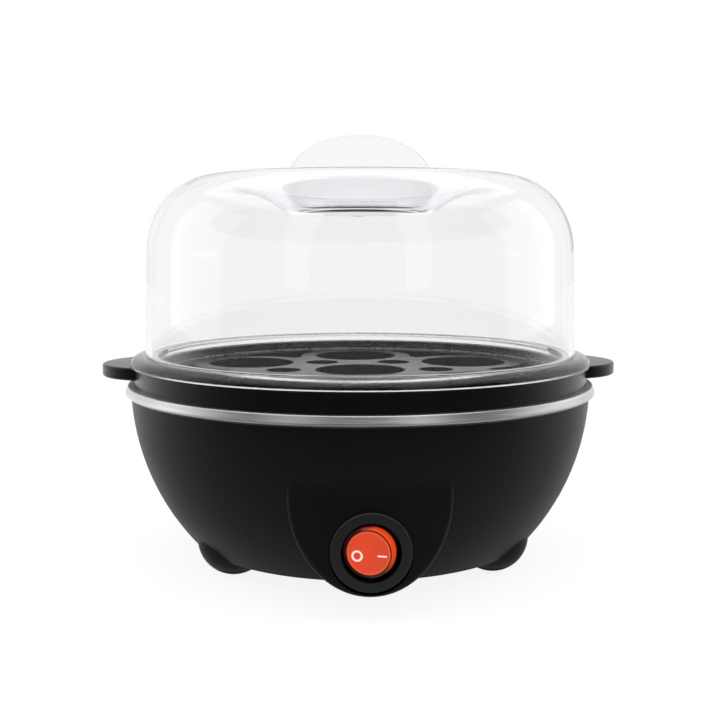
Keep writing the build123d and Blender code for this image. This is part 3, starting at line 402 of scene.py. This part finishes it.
clearLid = {
    "color": (0.958, 0.960, 0.970),
    "ior": 1.40,
    "rough": 0.0,
    "haze": 0.03,
    "scuffHeight": (0.0685, 0.0705),
    "scuffDensity": 1600.0,
    "scuffLeast": 0.4,
    "scuffRough": 0.30,
}
lampGlass = {**clearLid, "color": (1.0, 0.80, 0.68)}


def rockerPlastic(name, finish):
    # Bright orange plastic with a fine grid under its face, a dark line of painted shade round it and two
    # white marks; a painted highlight, painted shade and a painted glow stand in for its light.
    material, tree, shader = newMaterial(name)
    turn = Matrix.Rotation(radians(finish["tilt"]), 3, "Z")
    local = addNode(tree, "ShaderNodeMapping")
    local.inputs["Location"].default_value = -(turn @ Vector(finish["pivot"]))
    local.inputs["Rotation"].default_value = (0, 0, radians(finish["tilt"]))
    tree.links.new(objectVector(tree), local.inputs["Vector"])
    x, y, z = splitVector(tree, local.outputs[0])
    soft = finish["lineSoft"]

    def away(center):
        # Distance in the face's plane from a point on it.
        return lengthNode(tree, mathNode(tree, "SUBTRACT", x, center[0]),
                          mathNode(tree, "SUBTRACT", z, center[1]))

    def within(value, limit):
        return rampNode(tree, value, limit - soft, limit + soft, 1.0, 0.0)

    radius = away((0.0, 0.0))
    front = within(y, finish["frontLimit"])
    face = mathNode(tree, "MULTIPLY", within(radius, finish["faceRadius"]), front)
    edgeHighlight = rampNode(tree, radius, finish["highlightRadius"], finish["faceRadius"], 0.0, 1.0)
    # Painted shade: a dark ring in the groove round the face.
    grooveShade = mathNode(tree, "MULTIPLY", within(radius, finish["grooveRadius"]), front)

    lines = []
    rows = [(x, finish["gridAcross"], 1.0), (z, finish["gridUp"], finish["gridUpShare"])]
    for axis, pitch, weight in rows:
        wave = mathNode(tree, "SINE", mathNode(tree, "MULTIPLY", axis, 2 * pi / pitch))
        lines.append(rampNode(tree, wave, *finish["gridEdge"], 0.0, weight))
    grid = mathNode(tree, "MAXIMUM", *lines)
    gridShare = rampNode(tree, x, *finish["gridSpan"], finish["gridWeak"], finish["gridStrong"])
    cloud = noiseNode(tree, local.outputs[0], finish["cloudScale"], 2.0)
    faceColor = mixColors(tree, cloud, finish["color"], finish["colorDeep"])
    gridMask = mathNode(tree, "MULTIPLY", grid, gridShare)
    faceColor = mixColors(tree, gridMask, faceColor, finish["colorGrid"])
    # Painted highlight: the face lightens towards its edge.
    faceColor = mixColors(tree, edgeHighlight, faceColor, finish["colorEdgeHighlight"])
    # Painted shade: the body's side leaning left and down takes the shaded colour, the rest its lit colour.
    lean = mathNode(tree, "ADD", mathNode(tree, "MULTIPLY", x, finish["sideLean"][0]),
                    mathNode(tree, "MULTIPLY", z, finish["sideLean"][1]))
    sideShare = rampNode(tree, lean, *finish["sideSpan"], 0.0, 1.0)
    color = mixColors(tree, sideShare, finish["colorShade"], finish["colorSideLit"])
    # Painted shade: the body darkens to near black deeper in the well, less so on its right.
    rightReach = mathNode(tree, "MULTIPLY", mathNode(tree, "MAXIMUM", x, 0.0), finish["sideReach"])
    depth = mathNode(tree, "SUBTRACT", y, rightReach)
    wellShade = rampNode(tree, depth, *finish["wellSpan"], 0.0, 1.0)
    color = mixColors(tree, wellShade, color, finish["colorWellShade"])
    color = mixColors(tree, grooveShade, color, finish["colorGrooveShade"])
    color = mixColors(tree, face, color, faceColor)

    ringGap = mathNode(tree, "ABSOLUTE", mathNode(tree, "SUBTRACT", away(finish["ringCenter"]),
                                                  finish["ringRadius"]))
    ring = within(ringGap, finish["ringWidth"] / 2)
    barAcross = mathNode(tree, "ABSOLUTE", mathNode(tree, "SUBTRACT", x, finish["barCenter"][0]))
    barUp = mathNode(tree, "ABSOLUTE", mathNode(tree, "SUBTRACT", z, finish["barCenter"][1]))
    bar = mathNode(tree, "MULTIPLY", within(barAcross, finish["barLength"] / 2),
                   within(barUp, finish["barWidth"] / 2))
    mark = mathNode(tree, "MULTIPLY", mathNode(tree, "MAXIMUM", ring, bar), front)
    color = mixColors(tree, mark, color, finish["colorMark"])
    tree.links.new(color, shader.inputs["Base Color"])
    # Painted glow: the rocker's colour is also emitted, lifting it as if lit through its plastic.
    tree.links.new(color, shader.inputs["Emission Color"])
    height = mathNode(tree, "MULTIPLY", grid, face)
    tree.links.new(bumpNode(tree, height, finish["bump"], bumpReach / 2), shader.inputs["Normal"])
    setSockets(shader, {
        "Roughness": finish["rough"],
        "Emission Strength": finish["paintedGlow"],
        "Specular IOR Level": finish["specular"],
    })
    return material


orangeRocker = {
    "pivot": (0.0, -0.0745, 0.02065),
    "tilt": 14.0,
    "frontLimit": -0.0030,
    "faceRadius": 0.00620,
    "highlightRadius": 0.00545,  # from here to the face's edge a painted highlight lightens it
    "grooveRadius": 0.00655,
    "gridAcross": 0.00060,
    "gridUp": 0.00040,
    "gridUpShare": 0.4,
    "gridEdge": (0.1, 0.9),
    "gridSpan": (-0.004, 0.004),
    "gridWeak": 0.15,
    "gridStrong": 0.90,
    "color": (0.95, 0.092, 0.026),
    "colorDeep": (0.88, 0.070, 0.024),
    "colorGrid": (0.56, 0.055, 0.028),
    "colorEdgeHighlight": (1.0, 0.125, 0.035),
    "colorGrooveShade": (0.022, 0.006, 0.008),
    "colorSideLit": (0.86, 0.070, 0.010),
    "colorShade": (0.050, 0.014, 0.015),
    "colorWellShade": (0.004, 0.001, 0.001),  # painted shade where the body sinks into the well
    "sideLean": (0.85, 0.53),
    "sideSpan": (0.0010, 0.0050),
    "sideReach": 0.45,
    "wellSpan": (-0.0032, -0.0022),
    "colorMark": (1.0, 0.94, 0.92),
    "ringCenter": (-0.00325, -0.00095),
    "ringRadius": 0.001325,
    "ringWidth": 0.00055,
    "barCenter": (0.0039, -0.00065),
    "barLength": 0.0026,
    "barWidth": 0.00045,
    "cloudScale": 320.0,
    "lineSoft": 0.00004,
    "bump": 0.3,
    "rough": 0.25,
    "specular": 0.4,
    "paintedGlow": 0.42,
}

finishes = {
    "clear_lid": lidPlastic("clearLid", clearLid),
    "tray_plastic": trayMoulding("trayPlastic", trayPlastic),
    "black_shell": mouldedPlastic("blackShell", blackShell),
    "black_trim": mouldedPlastic("blackTrim", blackTrim),
    "orange_rocker": rockerPlastic("orangeRocker", orangeRocker),
    "dish_steel": dishMetal("dishSteel", dishSteel),
    "plain_steel": turnedMetal("plainSteel", plainSteel),
    "heater_steel": turnedMetal("heaterSteel", heaterSteel),
    "spreader_aluminium": turnedMetal("castAluminium", castAluminium),
    "brass": turnedMetal("brassMetal", brassMetal),
    "foot_rubber": mouldedPlastic("footRubber", rubber),
    "seal_silicone": mouldedPlastic("sealSilicone", silicone),
    "ceramic": mouldedPlastic("ceramicBead", ceramic),
    "phenolic": mouldedPlastic("phenolicMoulding", phenolic),
    "nylon": mouldedPlastic("nylonMoulding", nylon),
    "sleeve_glass_fibre": mouldedPlastic("glassFibreSleeve", glassFibre),
    "lead_brown": mouldedPlastic("leadBrown", leadBrown),
    "lead_blue": mouldedPlastic("leadBlue", leadBlue),
    "lead_green": mouldedPlastic("leadGreen", leadGreen),
    "lamp_glass": clearPlastic("lampGlass", lampGlass),
}

slotOf = {part["node"]: part["material_slot"] for part in frame["record"]["subparts"]}
for nodeName, nodeObject in nodes.items():
    finish = finishes[slotOf[nodeName]]
    if not nodeObject.material_slots:
        nodeObject.data.materials.append(finish)
    for slot in nodeObject.material_slots:
        slot.material = finish
print("materials placed")


# Stage: pale floor, soft studio light and the camera

studio = {
    "floorSize": 6.0,
    "floorColor": (0.22, 0.22, 0.22),
    "liftNear": 0.88,  # white added under the object, low enough for its shadow to show
    "nearEdge": 0.12,
    "farEdge": 0.42,  # from here on the floor is as white as the backdrop
    "fill": 0.55,  # soft light from all round
    "glossFront": 0.07,  # the dim room behind the camera, as gloss shows it
    "glossBack": 1.0,
    "glossTurn": (-0.30, 0.40),
    "glossRise": (0.45, 0.90),
    "floorGlossTurn": (-0.25, 0.20),
    "floorRough": 0.9,
}


def directRays(tree):
    path = addNode(tree, "ShaderNodeLightPath")
    return mathNode(tree, "MAXIMUM", path.outputs["Is Camera Ray"], path.outputs["Is Transmission Ray"])


def seenShare(tree, glossShare):
    # Camera and see-through rays meet plain white, and gloss meets its own share of it.
    path = addNode(tree, "ShaderNodeLightPath")
    gloss = mathNode(tree, "MULTIPLY", path.outputs["Is Glossy Ray"], glossShare)
    return mathNode(tree, "MAXIMUM", directRays(tree), gloss)


def makeFloor():
    mesh = bpy.data.meshes.new("floor")
    shape = bmesh.new()
    bmesh.ops.create_grid(shape, x_segments=1, y_segments=1, size=studio["floorSize"] / 2)
    shape.to_mesh(mesh)
    shape.free()
    floor = bpy.data.objects.new("floor", mesh)
    scene.collection.objects.link(floor)
    material, tree, shader = newMaterial("paleFloor")
    place = objectVector(tree)
    glossShare = rampNode(tree, splitVector(tree, place)[1], *studio["floorGlossTurn"], 0.0, 1.0)
    seen = seenShare(tree, glossShare)
    distance = addNode(tree, "ShaderNodeVectorMath", operation="LENGTH")
    tree.links.new(place, distance.inputs[0])
    far = rampNode(tree, distance.outputs["Value"], studio["nearEdge"], studio["farEdge"], 0.0, 1.0)
    lift = rampNode(tree, far, 0.0, 1.0, studio["liftNear"], 1.0)
    tree.links.new(mathNode(tree, "MULTIPLY", seen, lift), shader.inputs["Emission Strength"])
    handOver = mathNode(tree, "MULTIPLY", far, directRays(tree))
    color = mixColors(tree, handOver, studio["floorColor"], (0.0, 0.0, 0.0))
    tree.links.new(color, shader.inputs["Base Color"])
    setSockets(shader, {
        "Roughness": studio["floorRough"],
        "Specular IOR Level": 0.0,
        "Emission Color": (1.0, 1.0, 1.0, 1.0),
    })
    mesh.materials.append(material)


def makeWorld():
    world = bpy.data.worlds.new("studioWorld")
    scene.world = world
    world.use_nodes = True
    tree = world.node_tree
    background = tree.nodes["Background"]
    _, y, z = splitVector(tree, addNode(tree, "ShaderNodeTexCoord").outputs["Generated"])
    back = rampNode(tree, y, *studio["glossTurn"], studio["glossFront"], studio["glossBack"])
    above = rampNode(tree, z, *studio["glossRise"], 0.0, studio["glossBack"])
    seen = seenShare(tree, mathNode(tree, "MAXIMUM", back, above))
    path = addNode(tree, "ShaderNodeLightPath")
    diffuse = mathNode(tree, "MULTIPLY", path.outputs["Is Diffuse Ray"], studio["fill"])
    tree.links.new(mathNode(tree, "ADD", seen, diffuse), background.inputs["Strength"])
    background.inputs["Color"].default_value = (1.0, 1.0, 1.0, 1.0)


lamps = [
    {"name": "topSoftbox", "place": (0.0, 0.10, 0.95), "size": (1.6, 1.2), "power": 3.8},
    {"name": "frontLeftSoftbox", "place": (-0.470, -0.710, 0.62), "size": (0.26, 1.2), "power": 0.66},
    {"name": "frontRightSoftbox", "place": (0.375, -0.765, 0.62), "size": (0.26, 1.2), "power": 0.66},
    {"name": "leftSoftbox", "place": (-1.10, 0.10, 0.45), "size": (0.9, 0.9), "power": 1.3},
    {"name": "rightSoftbox", "place": (1.10, 0.10, 0.45), "size": (0.9, 0.9), "power": 1.5},
]
lampAim = Vector((0.0, 0.0, 0.07))


def makeLamp(lamp):
    data = bpy.data.lights.new(lamp["name"], "AREA")
    data.shape = "RECTANGLE"
    data.size, data.size_y = lamp["size"]
    data.energy = lamp["power"]
    holder = bpy.data.objects.new(lamp["name"], data)
    holder.location = lamp["place"]
    holder.rotation_euler = (lampAim - Vector(lamp["place"])).to_track_quat("-Z", "Y").to_euler()
    scene.collection.objects.link(holder)


cameraFit = {
    "distance": 0.350,
    "height": 0.1054,
    "azimuth": -2.3,
    "pitch": 6.457,
    "focalPixels": 1010.9,
    "framePixels": 720,
    "sensor": 36.0,
    "centerShiftPixels": 0.2,
    "clipStart": 0.01,
}


def makeCamera():
    data = bpy.data.cameras.new("photoCamera")
    data.sensor_width = cameraFit["sensor"]
    data.sensor_fit = "HORIZONTAL"
    data.lens = cameraFit["focalPixels"] * cameraFit["sensor"] / cameraFit["framePixels"]
    data.shift_x = -cameraFit["centerShiftPixels"] / cameraFit["framePixels"]
    data.clip_start = cameraFit["clipStart"]
    camera = bpy.data.objects.new("photoCamera", data)
    turn = radians(cameraFit["azimuth"])
    pitch = radians(cameraFit["pitch"])
    reach = cameraFit["distance"]
    camera.location = (sin(turn) * reach, -cos(turn) * reach, cameraFit["height"])
    aim = Vector((-sin(turn) * cos(pitch), cos(turn) * cos(pitch), -sin(pitch)))
    camera.rotation_euler = aim.to_track_quat("-Z", "Y").to_euler()
    scene.collection.objects.link(camera)
    scene.camera = camera


makeFloor()
makeWorld()
for lamp in lamps:
    makeLamp(lamp)
makeCamera()
scene.view_settings.view_transform = "Standard"
print("stage set")
